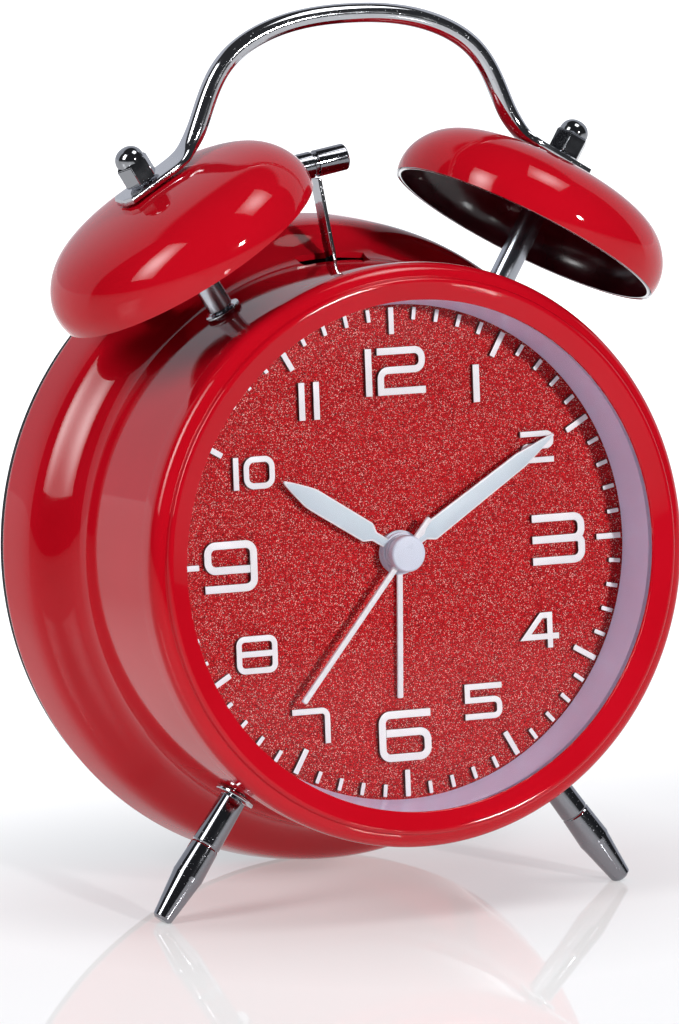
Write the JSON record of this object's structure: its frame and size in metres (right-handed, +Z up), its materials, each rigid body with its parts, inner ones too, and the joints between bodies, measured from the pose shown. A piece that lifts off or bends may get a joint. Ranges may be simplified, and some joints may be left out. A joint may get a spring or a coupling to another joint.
{
  "type": "twin bell alarm clock",
  "caption": "Round twin-bell quartz alarm clock on splayed feet, with a bent rod handle, hammer between the bells, four hands and a battery bay behind.",
  "frame": {"origin": "on the floor, under the middle of the clock's bounding box", "axes": "+Z up, front (dial) towards -Y, +X to the right as the dial is read; the dial leans back 7.6 degrees"},
  "size_m": [0.1152, 0.0698, 0.1555],
  "materials": {
    "red_paint": "high gloss, saturated red",
    "lens_glass": "clear, polished",
    "lavender_plastic": "satin, pale lavender-white light ring",
    "dial_glitter": "red with fine pale glitter",
    "black_plastic": "fine moulded grain",
    "chrome": "mirror polished",
    "plain_steel": "zinc plated",
    "movement_plastic": "cream moulding",
    "coil_copper": "enamelled copper winding",
    "circuit_board": "green solder mask",
    "motor_steel": "plated can",
    "led_plastic": "clear lens",
    "cell_wrap": "plain blue wrap with a steel end",
    "rotor_magnet": "dark sintered magnet",
    "gear_plastic": "natural white nylon",
    "gear_brass": "plain",
    "hand_blue": "pale blue-white, luminous filling in a white rim",
    "white_enamel": "white enamel"
  },
  "bodies": {
    "case": {"case_shell": "red_paint", "front_bezel": "red_paint", "lens": "lens_glass", "dial_ring": "lavender_plastic", "dial_plate": "dial_glitter", "back_cover": "black_plastic", "bell_left": "red_paint", "bell_right": "red_paint", "bell_post_left": "chrome", "bell_post_right": "chrome", "post_washer_left": "chrome", "post_washer_right": "chrome", "handle": "chrome", "cap_nut_left": "chrome", "cap_nut_right": "chrome", "foot_left": "chrome", "foot_right": "chrome", "foot_washer_left": "chrome", "foot_washer_right": "chrome", "post_nut_left": "plain_steel", "post_nut_right": "plain_steel", "foot_nut_left": "plain_steel", "foot_nut_right": "plain_steel", "movement_front": "movement_plastic", "movement_rear": "movement_plastic", "drive_coil": "coil_copper", "stator": "plain_steel", "circuit_board": "circuit_board", "hammer_bracket": "plain_steel", "hammer_motor": "motor_steel", "dial_lamp": "led_plastic", "battery_contact": "plain_steel", "battery_spring_upper": "plain_steel", "battery_spring_lower": "plain_steel", "aa_cell_upper": "cell_wrap", "aa_cell_lower": "cell_wrap", "cover_screw_1": "plain_steel", "cover_screw_2": "plain_steel", "cover_screw_3": "plain_steel"},
    "second_arbor": {"second_wheel": "gear_plastic", "second_hand": "white_enamel"},
    "step_gear": {"step_wheel": "gear_plastic"},
    "rotor_magnet": {"rotor": "rotor_magnet"},
    "third_gear": {"third_wheel": "gear_plastic"},
    "centre_gear": {"centre_wheel": "gear_brass"},
    "minute_arbor": {"minute_pinion": "gear_brass", "minute_hand": "hand_blue"},
    "motion_gear": {"motion_wheel": "gear_plastic"},
    "hour_tube": {"hour_wheel": "gear_plastic", "hour_hand": "hand_blue"},
    "alarm_tube": {"alarm_wheel": "gear_plastic", "alarm_hand": "white_enamel"},
    "time_knob": {"time_set_knob": "black_plastic"},
    "alarm_knob": {"alarm_set_knob": "black_plastic"},
    "hammer": {"hammer_arm": "chrome", "hammer_head": "chrome"},
    "cam": {"motor_cam": "gear_plastic"},
    "switch": {"alarm_switch": "black_plastic"},
    "button": {"light_button": "black_plastic"},
    "door": {"battery_door": "black_plastic"}
  },
  "joints": [
    {"name": "second_spin", "type": "hinge", "parent": "case", "child": "second_arbor", "pos_m": [0, -0.01719, 0.06241], "axis": [0, 0.9912, -0.1323], "continuous": true},
    {"name": "step_spin", "type": "hinge", "parent": "case", "child": "step_gear", "pos_m": [-0.01091, -0.01802, 0.05617], "axis": [0, 0.9912, -0.1323], "continuous": true},
    {"name": "rotor_spin", "type": "hinge", "parent": "case", "child": "rotor_magnet", "pos_m": [-0.01461, -0.01936, 0.04611], "axis": [0, 0.9912, -0.1323], "continuous": true},
    {"name": "third_spin", "type": "hinge", "parent": "case", "child": "third_gear", "pos_m": [0.01034, -0.01833, 0.05381], "axis": [0, 0.9912, -0.1323], "continuous": true},
    {"name": "centre_spin", "type": "hinge", "parent": "case", "child": "centre_gear", "pos_m": [0, -0.01719, 0.06241], "axis": [0, 0.9912, -0.1323], "continuous": true},
    {"name": "minute_spin", "type": "hinge", "parent": "case", "child": "minute_arbor", "pos_m": [0, -0.01719, 0.06241], "axis": [0, 0.9912, -0.1323], "continuous": true},
    {"name": "motion_spin", "type": "hinge", "parent": "case", "child": "motion_gear", "pos_m": [0.00551, -0.01615, 0.07021], "axis": [0, 0.9912, -0.1323], "continuous": true},
    {"name": "hour_spin", "type": "hinge", "parent": "case", "child": "hour_tube", "pos_m": [0, -0.01719, 0.06241], "axis": [0, 0.9912, -0.1323], "continuous": true},
    {"name": "time_knob_spin", "type": "hinge", "parent": "case", "child": "time_knob", "pos_m": [0.01496, -0.01593, 0.07186], "axis": [0, 0.9912, -0.1323], "continuous": true},
    {"name": "alarm_spin", "type": "hinge", "parent": "case", "child": "alarm_tube", "pos_m": [0, -0.01719, 0.06241], "axis": [0, 0.9912, -0.1323], "continuous": true},
    {"name": "alarm_knob_spin", "type": "hinge", "parent": "case", "child": "alarm_knob", "pos_m": [-0.01073, -0.016, 0.07133], "axis": [0, 0.9912, -0.1323], "continuous": true},
    {"name": "hammer_swing", "type": "hinge", "parent": "case", "child": "hammer", "pos_m": [0, 0.0107, 0.1051], "axis": [0, 0.9912, -0.1323], "range_deg": [-6, 25]},
    {"name": "cam_spin", "type": "hinge", "parent": "case", "child": "cam", "pos_m": [0, -0.01269, 0.09611], "axis": [0, 0.9912, -0.1323], "continuous": true},
    {"name": "alarm_switch_slide", "type": "slide", "parent": "case", "child": "switch", "axis": [1, 0, 0], "range_m": [0, 0.004]},
    {"name": "light_button_press", "type": "slide", "parent": "case", "child": "button", "axis": [0, -0.9912, 0.1323], "range_m": [0, 0.0012], "stiffness_N_per_m": 600, "springref_m": -0.0005},
    {"name": "battery_door_open", "type": "hinge", "parent": "case", "child": "door", "pos_m": [0, 0.02031, 0.01675], "axis": [-1, 0, 0], "range_deg": [0, 80]}
  ],
  "couplings": [
    {"joint": "step_spin", "follows": "second_spin", "ratio": -6},
    {"joint": "rotor_spin", "follows": "second_spin", "ratio": 30},
    {"joint": "third_spin", "follows": "second_spin", "ratio": -0.125},
    {"joint": "centre_spin", "follows": "second_spin", "ratio": 0.016667},
    {"joint": "motion_spin", "follows": "minute_spin", "ratio": -0.33333},
    {"joint": "hour_spin", "follows": "minute_spin", "ratio": 0.083333},
    {"joint": "time_knob_spin", "follows": "minute_spin", "ratio": 1},
    {"joint": "alarm_knob_spin", "follows": "alarm_spin", "ratio": -3}
  ]
}
